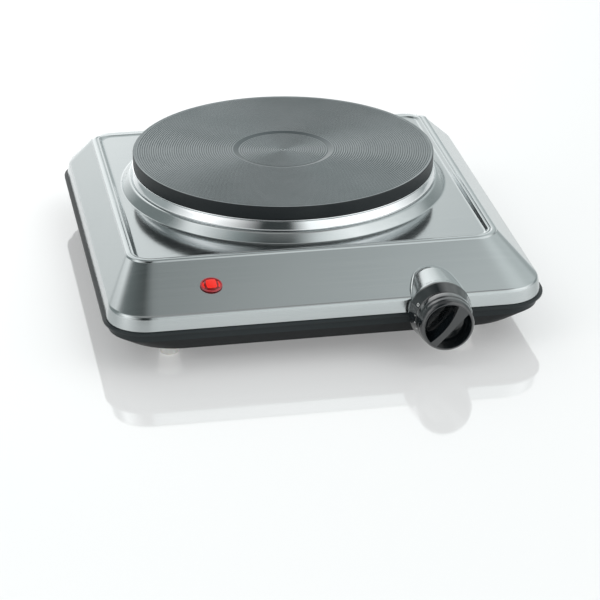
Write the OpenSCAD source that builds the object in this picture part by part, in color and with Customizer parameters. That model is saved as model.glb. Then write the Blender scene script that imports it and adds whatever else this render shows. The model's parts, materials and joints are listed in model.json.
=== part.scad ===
// Single electric hot plate burner: a cast iron plate on a stepped steel housing, with a
// thermostat knob on the front. Each module is one piece, or one group of identical fasteners.
// Inside the modules, x and y are measured from the centre of the cooking plate.

/* [Cooking plate] */
// Diameter of the cast iron plate
plate_d = 180; // [178:1:182]
// Height of the plate's outer rim
rim_h = 8; // [6:0.5:9]
// Diameter of the shallow recess in the middle
recess_d = 57.3; // [40:0.1:70]
// Depth of that recess
recess_depth = 0.6; // [0.2:0.1:1]
// Height of the chrome spill ring below the rim
spill_ring_h = 6.5; // [5:0.5:8]

/* [Housing] */
// Height from the table to the cooking surface
total_h = 64; // [62:1:70]
// Width across the black base's flange
body_w = 249.8; // [246:0.2:256]
// Plate centre to the front of the flange
flange_front = 158.5; // [157.5:0.5:160]
// Plate centre to the back of the flange
flange_back = 101.9; // [101:0.1:104]
// Level of the flat panel round the plate
panel_z = 44.3; // [44:0.1:45]
// Thickness of the housing's sheet steel
sheet = 0.8; // [0.6:0.1:1]

/* [Base] */
// Height of the feet
foot_h = 10.4; // [9:0.2:12]
// Top diameter of a foot
foot_d = 15; // [13:0.5:17]
// Thickness of the moulded base tray
tray_t = 2; // [1.6:0.1:2.4]

/* [Knob] */
// Sideways place of the knob
knob_x = 59.6; // [55:0.2:62]
// Height of the knob's axis
knob_z = 25.9; // [25:0.1:27]
// Diameter of the knob's collar
collar_d = 35.6; // [33:0.2:37]
// Direction of the grip bar above the horizontal
grip_angle = 50; // [0:5:90]

/* [Indicator] */
// Sideways place of the indicator
lamp_x = -64.1; // [-80:0.1:-40]
// Plate centre to the indicator, towards the front
lamp_front = 134.5; // [125:0.5:145]
// Diameter of the indicator's rim
lamp_d = 12.5; // [11:0.5:14]

/* [Hidden] */
$fn = 96;
cut = 0.5; // how far a cutter runs past the face it opens

// Lengths along y: the knob and the gland are the two ends of the part
knob_front = 182;
gland_back = 110;
plate_y = (knob_front - gland_back) / 2;

// Levels above the table
rim_z = total_h - rim_h;
shoulder_z = rim_z - spill_ring_h;
bead_z = panel_z + 1.8;
break_z = 33.4;
skirt_z = 24.5;
flange_t = 1.8;
bevel_z = 18;
floor_z = foot_h + tray_t;
panel_under = panel_z - sheet;

// Outlines seen from above: half width, front reach, back reach, corner radius
flange_edge = [body_w / 2, flange_front, flange_back, 24.5];
skirt_edge = [body_w / 2 - 1.7, 157.5, 101, 23];
break_edge = [body_w / 2 - 3.3, 157.1, 98, 22];
bead_edge = [body_w / 2 - 17.8, 111.3, 94.7, 14];
panel_edge = [body_w / 2 - 22.4, 104, 91.6, 10];
wall_edge = [body_w / 2 - 3.1, 155.5, 99, 22];
bottom_edge = [body_w / 2 - 7.9, 151, 94.5, 35];

// Plate, measured as radii
plate_r = plate_d / 2;
rib_bottom = rim_z - 6;
ribs = [[80, 84], [62, 65], [44, 47], [26, 29]];
coil_rows = [72.5, 54.5, 36.5];
stud_r = 4;
opening_r = plate_r - 4;

// Front slope
slope_run = break_edge[1] - bead_edge[1];
slope_angle = atan((bead_z - break_z) / slope_run);
function slope_z(front) = break_z + (break_edge[1] - front) * tan(slope_angle);

// Knob axis, with depths measured from the plate centre towards the front
boss_face = 160;
boss_face_r = 17;
boss_root = 156.2; // where its lower half leaves the skirt
boss_rear = 129;
boss_rear_r = 15.9;
bush_r = 5;
shaft_r = 3;
pin_r = 1.5;
running = 0.05;
bush_back = 150.8;
bush_step = 155;
grip_back = 170.4;
bracket_back = 152;
bracket_t = 1.2;
clip_back = 166.5;
shaft_front = 176.2;
flat_y = 1.5; // height of the flat along the shaft
rivet_r = 1.6;
rivet_head_r = 2.8;
stack_x = 30;

post_places = [[-88, -92], [88, -92], [-90, 62], [90, 62]];
foot_places = [[-88, -132], [79, -132], [-88, 75], [88, 75]];
gland_place = [-62, 33];
jaw_y = 82;
jaw_z = 26;
block_place = [-62, 54];
earth_place = [-94, 0];

// Routes of the inner wires, as points measured from the plate centre
wire_r = 1.2;
lamp_wire_r = 0.9;
live_route = [[-52, 45, 18], [-52, 36, 16], [-44, 10, 15], [-16, -50, 15], [50, -105, 15],
    [98, -125, 17], [110, -138, 21], [109.5, -147, 25], [103.6, -148.8, 26]];
switched_route = [[98.1, -145.2, 26], [104, -144, 27], [103, -134, 30], [84, -112, 30],
    [50, -82, 30], [22, -60, 29], [12, -46, 30], [12, -45, 36]];
neutral_route = [[-62, 45, 18], [-62, 34, 17], [-50, 4, 17], [-28, -28, 20], [-14, -42, 27],
    [-12, -45, 36]];
earth_route = [[-72, 45, 18], [-74, 37, 19], [-85, 27, 30], [-93, 19, 38], [-94, 11, 40]];
lamp_route = [[-65.2, -131.2, 27.7], [-66, -128, 22], [-76, -110, 17], [-82, -70, 16],
    [-85, -10, 16], [-82, 22, 16], [-72, 33, 15], [-66, 38, 16], [-65, 45, 18]];
lamp_return = [[-63, -131.2, 27.7], [-61, -127, 23], [-40, -80, 22], [-12, -54, 24],
    [0, -45.5, 29], [0, -45, 36]];

// ---- Shared shapes ----

module outline(edge, inset = 0) {
    half = edge[0] - inset;
    front = edge[1] - inset;
    back = edge[2] - inset;
    r = edge[3] - inset;
    translate([-half, r - front]) square([2 * half, front + back - 2 * r]);
    translate([r - half, -front]) square([2 * (half - r), front + back]);
    for (x = [r - half, half - r], y = [r - front, back - r])
        translate([x, y]) circle(r);
}

module layer(z, h, edge, inset = 0) {
    translate([0, 0, z]) linear_extrude(h) outline(edge, inset);
}

// A closed form between two outlines at two levels
module taper(z0, edge0, z1, edge1, inset = 0) {
    skin = 0.01;
    hull() {
        layer(z0, skin, edge0, inset, $fn = 48);
        layer(z1 - skin, skin, edge1, inset, $fn = 48);
    }
}

module turned(points) {
    rotate_extrude() polygon(points);
}

module ring(r_in, r_out, z0, z1) {
    translate([0, 0, z0]) difference() {
        cylinder(h = z1 - z0, r = r_out);
        translate([0, 0, -cut]) cylinder(h = z1 - z0 + 2 * cut, r = r_in);
    }
}

// Round bar between two levels
module bar_z(r, z0, z1) {
    translate([0, 0, z0]) cylinder(h = z1 - z0, r = r);
}

module block(low, high) {
    translate(low) cube(high - low);
}

module hexagon(across, z0, z1) {
    translate([0, 0, z0]) cylinder(h = z1 - z0, r = across / sqrt(3), $fn = 6);
}

// A screw standing on its head: head below z = 0, shank above it
module screw(head_r, head_h, shank_r, length) {
    difference() {
        union() {
            bar_z(head_r, -head_h, 0);
            bar_z(shank_r, -cut, length);
        }
        for (a = [0, 90])
            rotate(a) translate([-head_r * 0.6, -0.4, -head_h - 1]) cube([head_r * 1.2, 0.8, 1.8]);
    }
}

// Local z runs along the knob's axis to the front, local y points up
module on_knob_axis() {
    translate([knob_x, 0, knob_z]) rotate([90, 0, 0]) children();
}

// Local z leaves the front slope at right angles, at the indicator
module on_slope() {
    translate([lamp_x, -lamp_front, slope_z(lamp_front)]) rotate([slope_angle, 0, 0]) children();
}

// Local z runs straight to the back, at the cord's inlet
module on_gland_axis(y) {
    translate([gland_place[0], y, gland_place[1]]) rotate([-90, 0, 0]) children();
}

module at(place) {
    translate([place[0], place[1], 0]) children();
}

module in_part() {
    translate([0, plate_y, 0]) children();
}

// ---- Wires ----

function unit(v) = v / norm(v);

// Point on a smooth curve through a route: p0 to p3 are four points in a row, t runs 0 to 1
function between(p0, p1, p2, p3, t) = 0.5 * (2 * p1 + (p2 - p0) * t
    + (2 * p0 - 5 * p1 + 4 * p2 - p3) * t * t + (3 * p1 - p0 - 3 * p2 + p3) * t * t * t);

function smooth(route, steps) = let (last = len(route) - 1) [
    for (i = [0 : last - 1], s = [0 : steps - 1])
        between(route[max(i - 1, 0)], route[i], route[i + 1], route[min(i + 2, last)], s / steps),
    route[last]
];

module tube(route, r, sides = 8) {
    path = smooth(route, 4);
    last = len(path) - 1;
    lean = unit([0.31, 0.17, 0.6]);
    rings = [for (i = [0 : last])
        let (
            along = unit(path[min(i + 1, last)] - path[max(i - 1, 0)]),
            side = unit(cross(along, lean)),
            up = cross(side, along)
        )
        for (k = [0 : sides - 1])
            path[i] + r * (cos(360 * k / sides) * side + sin(360 * k / sides) * up)];
    walls = [for (i = [0 : last - 1], k = [0 : sides - 1])
        let (next = (k + 1) % sides)
        [i * sides + k, i * sides + next, (i + 1) * sides + next, (i + 1) * sides + k]];
    first_end = [for (k = [sides - 1 : -1 : 0]) k];
    last_end = [for (k = [0 : sides - 1]) last * sides + k];
    polyhedron(points = rings, faces = concat([first_end, last_end], walls));
}

// ---- Plate and heating element ----

module cast_iron_plate() {
    ceiling = rim_z + 2;
    chamfer = 0.7;
    color([0.3, 0.33, 0.34]) in_part() difference() {
        union() {
            turned([[0, rim_z], [plate_r, rim_z], [plate_r, total_h - chamfer],
                [plate_r - chamfer, total_h], [recess_d / 2 + 1, total_h],
                [recess_d / 2, total_h - recess_depth], [0, total_h - recess_depth]]);
            bar_z(12, rib_bottom, rim_z);
            for (r = ribs) ring(r[0], r[1], rib_bottom, rim_z);
        }
        for (i = [0 : len(ribs) - 2]) ring(ribs[i + 1][1], ribs[i][0], rim_z - cut, ceiling);
        bar_z(stud_r, rib_bottom - cut, rim_z + 4);
    }
}

module heating_coils() {
    color("silver") in_part()
        for (r = coil_rows) rotate_extrude() translate([r, rim_z - 2]) circle(2.5);
}

module magnesia_filling() {
    gap = 0.1;
    color("ivory") in_part() difference() {
        for (i = [0 : len(ribs) - 2])
            ring(ribs[i + 1][1] + gap, ribs[i][0] - gap, rib_bottom, rim_z + 2 - gap);
        for (r = coil_rows) {
            rotate_extrude() translate([r, rim_z - 2]) circle(2.7);
            ring(r - 2.7, r + 2.7, rib_bottom - cut, rim_z - 2);
        }
    }
}

module element_cover() {
    color("gainsboro") in_part() difference() {
        turned([[0, rib_bottom], [83.4, rib_bottom], [83.4, rib_bottom - sheet],
            [0, rib_bottom - sheet]]);
        bar_z(stud_r + 0.3, rib_bottom - 2, rib_bottom + cut);
    }
}

module element_terminals() {
    top = rib_bottom - sheet;
    color("white") in_part() difference() {
        block([-20, -53, top - 7.2], [20, -37, top]);
        for (x = [-12, 0, 12]) translate([x, -45, 0]) bar_z(1.6, top - 8, top - 2);
    }
}

module terminal_pins() {
    color("goldenrod") in_part()
        for (x = [-12, 0, 12]) translate([x, -45, 0]) bar_z(1.6, 36, rib_bottom - sheet - 2);
}

module mounting_stud() {
    color("silver") in_part() bar_z(stud_r, 19, rim_z + 4);
}

module clamp_bar() {
    low = 29.5;
    t = 3;
    high = panel_under - t;
    color("lightgray") in_part() difference() {
        translate([0, 10, 0]) rotate([90, 0, 0]) linear_extrude(20) polygon([
            [-101, high], [-87, high], [-81, low], [81, low], [87, high], [101, high],
            [101, high + t], [85, high + t], [79, low + t], [-79, low + t], [-85, high + t],
            [-101, high + t]]);
        bar_z(stud_r + 0.3, low - cut, low + t + cut);
        at(earth_place) bar_z(2, high - cut, high + t + cut);
    }
}

module clamp_washer() {
    color("silver") in_part() ring(stud_r + 0.3, 9, 28.3, 29.5);
}

module clamp_nut() {
    color("silver") in_part() difference() {
        hexagon(13, 21.8, 28.3);
        bar_z(stud_r, 21, 29);
    }
}

module heat_shield() {
    base = 32.5;
    color("lightsteelblue") in_part() difference() {
        union() {
            bar_z(76, base, base + 0.6);
            ring(75.4, 76, base, 40);
        }
        bar_z(stud_r + 0.3, base - cut, base + 2);
        block([-20, -56, base - cut], [20, -34, base + 2]);
    }
}

module spill_ring() {
    color("white") in_part() turned([
        [plate_r - 5.6, rim_z], [plate_r - 0.4, rim_z], [plate_r + 1, rim_z - 3.2],
        [plate_r + 1.9, shoulder_z], [opening_r + 0.6, shoulder_z],
        [opening_r + 0.6, shoulder_z + 0.7], [plate_r + 1, shoulder_z + 0.7],
        [plate_r + 0.2, rim_z - 3.2], [plate_r - 1, rim_z - sheet],
        [plate_r - 5.6, rim_z - sheet]]);
}

// ---- Casing ----

module housing_form(drop, inset) {
    taper(skirt_z - drop, skirt_edge, break_z - inset / 2, break_edge, inset);
    taper(break_z - inset / 2 - 0.02, break_edge, bead_z - inset, bead_edge, inset);
}

// The space inside the boss
module boss_bore() {
    on_knob_axis() bar_z(boss_rear_r - sheet, boss_rear - 9, boss_face - sheet);
}

// The boss that carries the knob: it narrows towards the back and is open behind the slope.
// In front of the skirt it is a whole circle.
module knob_boss() {
    difference() {
        intersection() {
            on_knob_axis() translate([0, 0, boss_rear])
                cylinder(h = boss_face - boss_rear, r1 = boss_rear_r, r2 = boss_face_r);
            union() {
                block([0, -boss_face - cut, skirt_z], [100, -boss_rear, bead_z]);
                block([0, -boss_face - cut, 0], [100, -boss_root, skirt_z]);
            }
        }
        boss_bore();
        housing_form(1, sheet);
    }
}

module top_housing() {
    shoulder_r = plate_r + 1.9;
    emboss_r = plate_r + 7.1;
    color([0.78, 0.8, 0.8]) in_part() difference() {
        union() {
            difference() {
                housing_form(0, 0);
                housing_form(1, sheet);
                layer(panel_z, 5, panel_edge);
                boss_bore();
            }
            difference() {
                layer(panel_under, bead_z - panel_under - 0.1, panel_edge, -sheet);
                layer(panel_z, 5, panel_edge);
                bar_z(emboss_r - sheet, panel_under - cut, bead_z);
            }
            intersection() {
                turned([[emboss_r - sheet, panel_under], [emboss_r, panel_under],
                    [emboss_r, panel_z], [shoulder_r + 0.4, shoulder_z],
                    [opening_r, shoulder_z], [opening_r, shoulder_z - sheet],
                    [shoulder_r, shoulder_z - sheet]]);
                layer(panel_under - cut, shoulder_z, bead_edge);
            }
            knob_boss();
        }
        on_knob_axis() bar_z(bush_r + 0.1, boss_face - 2, boss_face + cut);
        on_slope() bar_z(5, -4, 4);
        on_gland_axis(90) bar_z(6.6, 0, 14);
    }
}

module base_tray() {
    flange_z = skirt_z - flange_t;
    color([0.13, 0.14, 0.14]) in_part() difference() {
        union() {
            difference() {
                union() {
                    layer(flange_z, flange_t, flange_edge);
                    layer(bevel_z, flange_z - bevel_z + 0.1, wall_edge);
                    taper(foot_h, bottom_edge, bevel_z + 0.02, wall_edge);
                }
                taper(floor_z, bottom_edge, bevel_z, wall_edge, tray_t);
                layer(bevel_z - 0.02, 10, wall_edge, tray_t);
            }
            for (p = foot_places) at(p) bar_z(4.5, floor_z - cut, 18);
        }
        for (p = foot_places) at(p) bar_z(1.7, foot_h - cut, 16.4);
        for (p = post_places) at(p) bar_z(2.1, foot_h - cut, floor_z + cut);
        on_knob_axis() bar_z(boss_face_r + 0.4, boss_root - 0.3, boss_face + 1);
        on_knob_axis() bar_z(7, 150, boss_face);
        for (x = [-50 : 12.5 : 50], y = [-72, 22])
            translate([x - 1.5, y, foot_h - cut]) cube([3, 36, tray_t + 2 * cut]);
    }
}

module foot() {
    difference() {
        turned([[0, 0], [foot_d / 2 - 2.6, 0], [foot_d / 2 - 2, 0.6], [foot_d / 2, foot_h],
            [0, foot_h]]);
        bar_z(3.3, -cut, 4);
        bar_z(1.8, 0, foot_h + cut);
    }
}

module foot_front_left() {
    color("white") in_part() at(foot_places[0]) foot();
}

module foot_front_right() {
    color("white") in_part() at(foot_places[1]) foot();
}

module foot_rear_left() {
    color("white") in_part() at(foot_places[2]) foot();
}

module foot_rear_right() {
    color("white") in_part() at(foot_places[3]) foot();
}

module foot_screws() {
    color("silver") in_part()
        for (p = foot_places) at(p) translate([0, 0, 4]) screw(3.1, 2.4, 1.7, 12);
}

module joining_posts() {
    color("lightgray") in_part() for (p = post_places) at(p) difference() {
        hexagon(8, floor_z, panel_under);
        bar_z(1.9, floor_z - cut, floor_z + 12);
    }
}

module base_screws() {
    color("silver") in_part()
        for (p = post_places) at(p) translate([0, 0, foot_h]) screw(3.8, 2.2, 1.9, 12);
}

// ---- Knob and thermostat ----

module grip_bar() {
    rotate(grip_angle) polygon([[-14, -2.2], [14, -4.6], [14, 4.6], [-14, 2.2]]);
}

module knob_grip() {
    r = collar_d / 2 - 2;
    scoop_r = collar_d / 2 - 4.4;
    color([0.08, 0.09, 0.1]) in_part() on_knob_axis() difference() {
        turned([[0, 165.5], [6, 165.5], [6, grip_back], [r, grip_back], [r, 176.8],
            [r - 0.5, 178.6], [r - 1, 180.6], [scoop_r + 0.3, knob_front], [0, knob_front]]);
        translate([0, 0, grip_back + 1.5]) linear_extrude(20) difference() {
            circle(scoop_r);
            grip_bar();
        }
        difference() {
            bar_z(shaft_r, 163, shaft_front + 0.3);
            block([-5, flat_y, clip_back], [5, 5, 178]);
        }
        block([-2.2, flat_y, 163], [2.2, 2, 174]);
    }
}

module knob_collar() {
    r = collar_d / 2;
    color([0.1, 0.11, 0.12]) in_part() on_knob_axis() turned([
        [11, 160.5], [r - 0.4, 160.5], [r, 161], [r, 162.1], [r - 2.2, grip_back],
        [11, grip_back]]);
}

module knob_clip() {
    color("silver") in_part() on_knob_axis() block([-2.2, flat_y, clip_back], [2.2, 2, 174]);
}

module thermostat_shaft() {
    color("silver") in_part() on_knob_axis() difference() {
        bar_z(shaft_r, bush_step + 0.6, shaft_front);
        block([-4, flat_y, clip_back], [4, 5, 180]);
    }
}

module shaft_circlip() {
    color("dimgray") in_part() on_knob_axis() ring(shaft_r, 4.4, 163.85, 164.55);
}

module thermostat_bush() {
    color("goldenrod") in_part() on_knob_axis() difference() {
        union() {
            bar_z(bush_r, bush_back, 163.5);
            bar_z(8, 157.2, boss_face - sheet);
        }
        bar_z(shaft_r + running, bush_step, 165);
        bar_z(pin_r + running, bush_back - 1, bush_step + cut);
    }
}

module bush_nut() {
    color("goldenrod") in_part() on_knob_axis() difference() {
        hexagon(14, boss_face, boss_face + 2.4);
        bar_z(bush_r, boss_face - cut, boss_face + 4);
    }
}

module thermostat_bracket() {
    color("silver") in_part() on_knob_axis() difference() {
        union() {
            block([-8, -7.5, bracket_back], [38, 7.5, bracket_back + bracket_t]);
            for (y = [-7.5, 6.7]) block([-8, y, 140], [4, y + 0.8, bracket_back + cut]);
        }
        bar_z(bush_r, 150, 154);
        translate([stack_x, 0, 0]) bar_z(rivet_r, 150, 154);
    }
}

module push_pin() {
    color("white") in_part() on_knob_axis() bar_z(pin_r, bush_back - 0.9, bush_step + 0.2);
}

// Thermostat stack, from the bracket backwards: insulator, leaf, insulator, leaf, insulator, bimetal
leaf_t = 0.5;
spacer_t = 3;
function spacer_z(i) = bracket_back - spacer_t - i * (spacer_t + leaf_t);

module stack_insulators() {
    color("white") in_part() on_knob_axis() translate([stack_x, 0, 0])
        for (i = [0 : 2]) ring(rivet_r, 4.5, spacer_z(i), spacer_z(i) + spacer_t);
}

module stack_rivet() {
    color("silver") in_part() on_knob_axis() translate([stack_x, 0, 0]) {
        bar_z(rivet_r, 140, bracket_back + bracket_t);
        bar_z(rivet_head_r, 139, 140);
        bar_z(rivet_head_r, bracket_back + bracket_t, bracket_back + bracket_t + 0.2);
    }
}

module leaf(i, tail, t = leaf_t) {
    difference() {
        block([-6, -3.5, spacer_z(i) - t], [tail, 3.5, spacer_z(i)]);
        translate([stack_x, 0, 0]) bar_z(rivet_r, 130, 160);
    }
}

module moving_contact() {
    color("goldenrod") in_part() on_knob_axis() {
        leaf(0, 44);
        translate([-3, 0, 0]) bar_z(1.8, spacer_z(0) - leaf_t - 1.2, spacer_z(0) - leaf_t);
    }
}

module fixed_contact() {
    color("goldenrod") in_part() on_knob_axis() {
        leaf(1, 38.5);
        translate([-3, 0, 0]) bar_z(1.8, spacer_z(1), spacer_z(1) + 1.3);
    }
}

module bimetal_strip() {
    color("slategray") in_part() on_knob_axis() leaf(2, 35, 0.9);
}

// ---- Indicator ----

module indicator_lens() {
    color([0.75, 0.08, 0.08, 0.7]) in_part() on_slope() turned([
        [0, 1.7], [lamp_d / 2 - 1.4, 1.7], [lamp_d / 2 - 0.3, 1.2], [lamp_d / 2, 0.6],
        [lamp_d / 2, 0], [4.9, 0], [4.9, -9], [3.9, -9], [3.9, -0.6], [0, -0.6]]);
}

module neon_lamp() {
    color("orange") in_part() on_slope() turned([
        [0, -1.6], [1.6, -2], [3.2, -3.6], [3.2, -10], [2, -12.4], [0, -12.4]]);
}

module lamp_clip() {
    color("gainsboro") in_part() on_slope() ring(4.95, 7.2, -1.9, -0.9);
}

// ---- Mains inlet and wiring ----

module cord_gland() {
    color([0.1, 0.1, 0.1]) in_part() on_gland_axis(0) turned([
        [3.6, 90], [6.5, 90], [6.5, 101.2], [8.2, 101.2], [8.2, 103.6], [7.2, 104.2],
        [6, gland_back], [3.6, gland_back]]);
}

module gland_nut() {
    color([0.15, 0.15, 0.15]) in_part() on_gland_axis(0) difference() {
        hexagon(18, 90.6, 94.2);
        bar_z(6.5, 90, 96);
    }
}

module clamp_jaws() {
    color("ivory") in_part() translate([gland_place[0], jaw_y, 0]) difference() {
        union() {
            block([-13, -5, floor_z], [13, 5, jaw_z]);
            block([-13, -5, jaw_z + 0.6], [13, 5, jaw_z + 6]);
        }
        translate([0, 8, jaw_z + 0.3]) rotate([90, 0, 0]) cylinder(h = 16, r = 3.3);
        for (x = [-9, 9]) translate([x, 0, 0]) bar_z(1.5, 15, 40);
    }
}

module jaw_screws() {
    color("silver") in_part() for (x = [-9, 9])
        translate([gland_place[0] + x, jaw_y, jaw_z + 6]) rotate([180, 0, 0])
            screw(2.9, 2, 1.5, 15);
}

module mains_block() {
    color("ivory") in_part() at(block_place) difference() {
        block([-17, -9, floor_z], [17, 9, 25]);
        for (x = [-10, 0, 10], y = [-4.5, 4.5]) translate([x, y, 0]) bar_z(2.2, 20, 26);
    }
}

module block_screws() {
    color("goldenrod") in_part() at(block_place)
        for (x = [-10, 0, 10], y = [-4.5, 4.5]) translate([x, y, 0]) bar_z(2.2, 20, 23.6);
}

module earth_tag() {
    top = panel_under - 3;
    color("goldenrod") in_part() at(earth_place) difference() {
        union() {
            bar_z(4.2, top - 0.8, top);
            block([-2, 0, top - 0.8], [2, 11, top]);
        }
        bar_z(2, top - 2, top + 1);
    }
}

module earth_screw() {
    color("goldenrod") in_part() at(earth_place) translate([0, 0, panel_under - 3.8])
        screw(3.4, 2, 2, 3.8);
}

module live_wire() {
    color("saddlebrown") in_part() tube(live_route, wire_r);
}

module switched_wire() {
    color("black") in_part() tube(switched_route, wire_r);
}

module neutral_wire() {
    color("royalblue") in_part() tube(neutral_route, wire_r);
}

module earth_wire() {
    color("yellowgreen") in_part() tube(earth_route, wire_r);
}

module lamp_wires() {
    color("white") in_part() {
        tube(lamp_route, lamp_wire_r);
        tube(lamp_return, lamp_wire_r);
    }
}

cast_iron_plate();
heating_coils();
magnesia_filling();
element_cover();
element_terminals();
terminal_pins();
mounting_stud();
clamp_bar();
clamp_washer();
clamp_nut();
heat_shield();
spill_ring();
top_housing();
base_tray();
foot_front_left();
foot_front_right();
foot_rear_left();
foot_rear_right();
foot_screws();
joining_posts();
base_screws();
knob_grip();
knob_collar();
knob_clip();
thermostat_shaft();
shaft_circlip();
thermostat_bush();
bush_nut();
thermostat_bracket();
push_pin();
stack_insulators();
stack_rivet();
moving_contact();
fixed_contact();
bimetal_strip();
indicator_lens();
neon_lamp();
lamp_clip();
cord_gland();
gland_nut();
clamp_jaws();
jaw_screws();
mains_block();
block_screws();
earth_tag();
earth_screw();
live_wire();
switched_wire();
neutral_wire();
earth_wire();
lamp_wires();
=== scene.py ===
"""Hot plate burner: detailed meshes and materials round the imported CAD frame.

Shapes are written in millimetres from the centre of the cooking plate: x to the right, y to
the back, z above the table. The knob, the indicator and the cord gland are turned round axes
of their own. Everything ends up in metres in the CAD frame.
"""

import json
import math

import bmesh
import bpy
from mathutils import Matrix, Vector


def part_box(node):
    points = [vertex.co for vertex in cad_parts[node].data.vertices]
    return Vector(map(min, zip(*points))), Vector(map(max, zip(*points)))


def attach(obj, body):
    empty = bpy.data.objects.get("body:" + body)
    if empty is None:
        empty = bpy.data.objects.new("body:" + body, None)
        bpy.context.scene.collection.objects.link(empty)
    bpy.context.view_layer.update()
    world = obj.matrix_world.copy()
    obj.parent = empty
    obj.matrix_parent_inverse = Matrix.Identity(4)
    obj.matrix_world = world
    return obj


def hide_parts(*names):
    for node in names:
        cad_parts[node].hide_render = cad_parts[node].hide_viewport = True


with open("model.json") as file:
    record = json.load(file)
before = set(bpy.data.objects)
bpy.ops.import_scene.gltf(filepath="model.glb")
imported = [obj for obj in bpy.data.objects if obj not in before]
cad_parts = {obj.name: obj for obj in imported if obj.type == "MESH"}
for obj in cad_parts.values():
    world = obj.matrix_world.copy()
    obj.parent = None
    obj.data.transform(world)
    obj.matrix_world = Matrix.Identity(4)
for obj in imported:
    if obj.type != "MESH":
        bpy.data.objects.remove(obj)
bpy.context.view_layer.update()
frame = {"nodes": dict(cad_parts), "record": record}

scene = bpy.context.scene
MM = 0.001
TAU = 2 * math.pi


# ---- Places and sizes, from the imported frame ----

def corners(node):
    """Lowest and highest corner of a CAD node, in millimetres."""
    low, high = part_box(node)
    return Vector(low) / MM, Vector(high) / MM


plate_low, plate_high = corners("cast_iron_plate")
ring_low, ring_high = corners("spill_ring")
housing_low, housing_high = corners("top_housing")
tray_low, tray_high = corners("base_tray")
collar_low, collar_high = corners("knob_collar")
grip_low = corners("knob_grip")[0]
lens_low, lens_high = corners("indicator_lens")
gland_low, gland_high = corners("cord_gland")

PLATE_X = (plate_low.x + plate_high.x) / 2
PLATE_Y = (plate_low.y + plate_high.y) / 2
PLATE_R = (plate_high.x - plate_low.x) / 2
TOP_Z = plate_high.z
RIM_Z = ring_high.z
SHOULDER_Z = ring_low.z
RING_R = (ring_high.x - ring_low.x) / 2

HALF_SKIRT = (housing_high.x - housing_low.x) / 2
SKIRT_Z = tray_high.z
BREAK_Z = SKIRT_Z + 8.9
PANEL_Z = SHOULDER_Z - 5.2
BEAD_Z = PANEL_Z + 1.8
SHEET = 0.8

KNOB_X = (collar_low.x + collar_high.x) / 2 - PLATE_X
KNOB_Z = (collar_low.z + collar_high.z) / 2
COLLAR_R = (collar_high.x - collar_low.x) / 2
KNOB_FRONT = PLATE_Y - grip_low.y
COLLAR_BACK = PLATE_Y - collar_high.y
GRIP_BACK = PLATE_Y - collar_low.y
BOSS_FACE = PLATE_Y - housing_low.y
BOSS_R = KNOB_Z - housing_low.z
BOSS_REAR_R = BOSS_R - 1.1
BOSS_LENGTH = 31.0
BOSS_END = 131.4
BOSS_EDGE_R = 1.2

# Outlines seen from above: half width, front reach, back reach, corner radius
SKIRT = (HALF_SKIRT, 157.5, 101.0, 23.0)
BREAK = (HALF_SKIRT - 1.6, 157.1, 98.0, 22.0)
BEAD = (HALF_SKIRT - 16.1, 111.3, 94.7, 14.0)
HALF_FLANGE = (tray_high.x - tray_low.x) / 2
FLANGE = (HALF_FLANGE, PLATE_Y - tray_low.y, tray_high.y - PLATE_Y, 24.5)
WALL = (HALF_FLANGE - 3.1, 155.5, 99.0, 22.0)
BOTTOM = (HALF_FLANGE - 7.9, 151.0, 94.5, 35.0)
BEVEL_Z = 18.0
FOOT_H = tray_low.z

SLOPE = math.atan((BEAD_Z - BREAK_Z) / (BREAK[1] - BEAD[1]))
LAMP_X = (lens_low.x + lens_high.x) / 2 - PLATE_X
LAMP_FRONT = 134.5
LAMP_R = (lens_high.x - lens_low.x) / 2
GLAND_X = (gland_low.x + gland_high.x) / 2 - PLATE_X
GLAND_Z = (gland_low.z + gland_high.z) / 2
GLAND_BACK = gland_high.y - PLATE_Y

UPRIGHT = Matrix.Identity(4)
# Local z to the front along the knob's axis, local y up
KNOB_AXIS = Matrix.Translation((KNOB_X, 0, KNOB_Z)) @ Matrix.Rotation(math.radians(90), 4, "X")
GLAND_AXIS = (Matrix.Translation((GLAND_X, 0, GLAND_Z))
              @ Matrix.Rotation(math.radians(-90), 4, "X"))


def slope_z(front):
    """Height of the front slope's flat at a distance in front of the plate's centre."""
    return BREAK_Z + (BREAK[1] - front) * math.tan(SLOPE)


# Local z leaves the front slope at right angles, at the indicator
LAMP_AXIS = (Matrix.Translation((LAMP_X, -LAMP_FRONT, slope_z(LAMP_FRONT)))
             @ Matrix.Rotation(SLOPE, 4, "X"))


# ---- Camera ----

# Where the camera stands as seen from the middle of the plate's top, in metres and degrees
CAMERA_AZIMUTH = -10.34
CAMERA_ELEVATION = 24.9
CAMERA_DISTANCE = 1.55145
CAMERA_RIGHT = 0.01014
CAMERA_DOWN = 0.09069
CAMERA_LENS = 155.4


def aim_camera():
    azimuth, elevation = math.radians(CAMERA_AZIMUTH), math.radians(CAMERA_ELEVATION)
    back = Vector((math.sin(azimuth) * math.cos(elevation),
                   -math.cos(azimuth) * math.cos(elevation), math.sin(elevation)))
    right = Vector((math.cos(azimuth), math.sin(azimuth), 0))
    up = back.cross(right)
    plate_top = Vector((PLATE_X, PLATE_Y, TOP_Z)) * MM
    camera = bpy.data.objects.new("camera", bpy.data.cameras.new("camera"))
    camera.data.lens = CAMERA_LENS
    camera.data.clip_start = 0.05
    camera.location = (plate_top + CAMERA_DISTANCE * back + CAMERA_RIGHT * right
                       - CAMERA_DOWN * up)
    camera.rotation_euler = Matrix((right, up, back)).transposed().to_euler()
    scene.collection.objects.link(camera)
    scene.camera = camera


aim_camera()


# ---- Mesh tools ----

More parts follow.
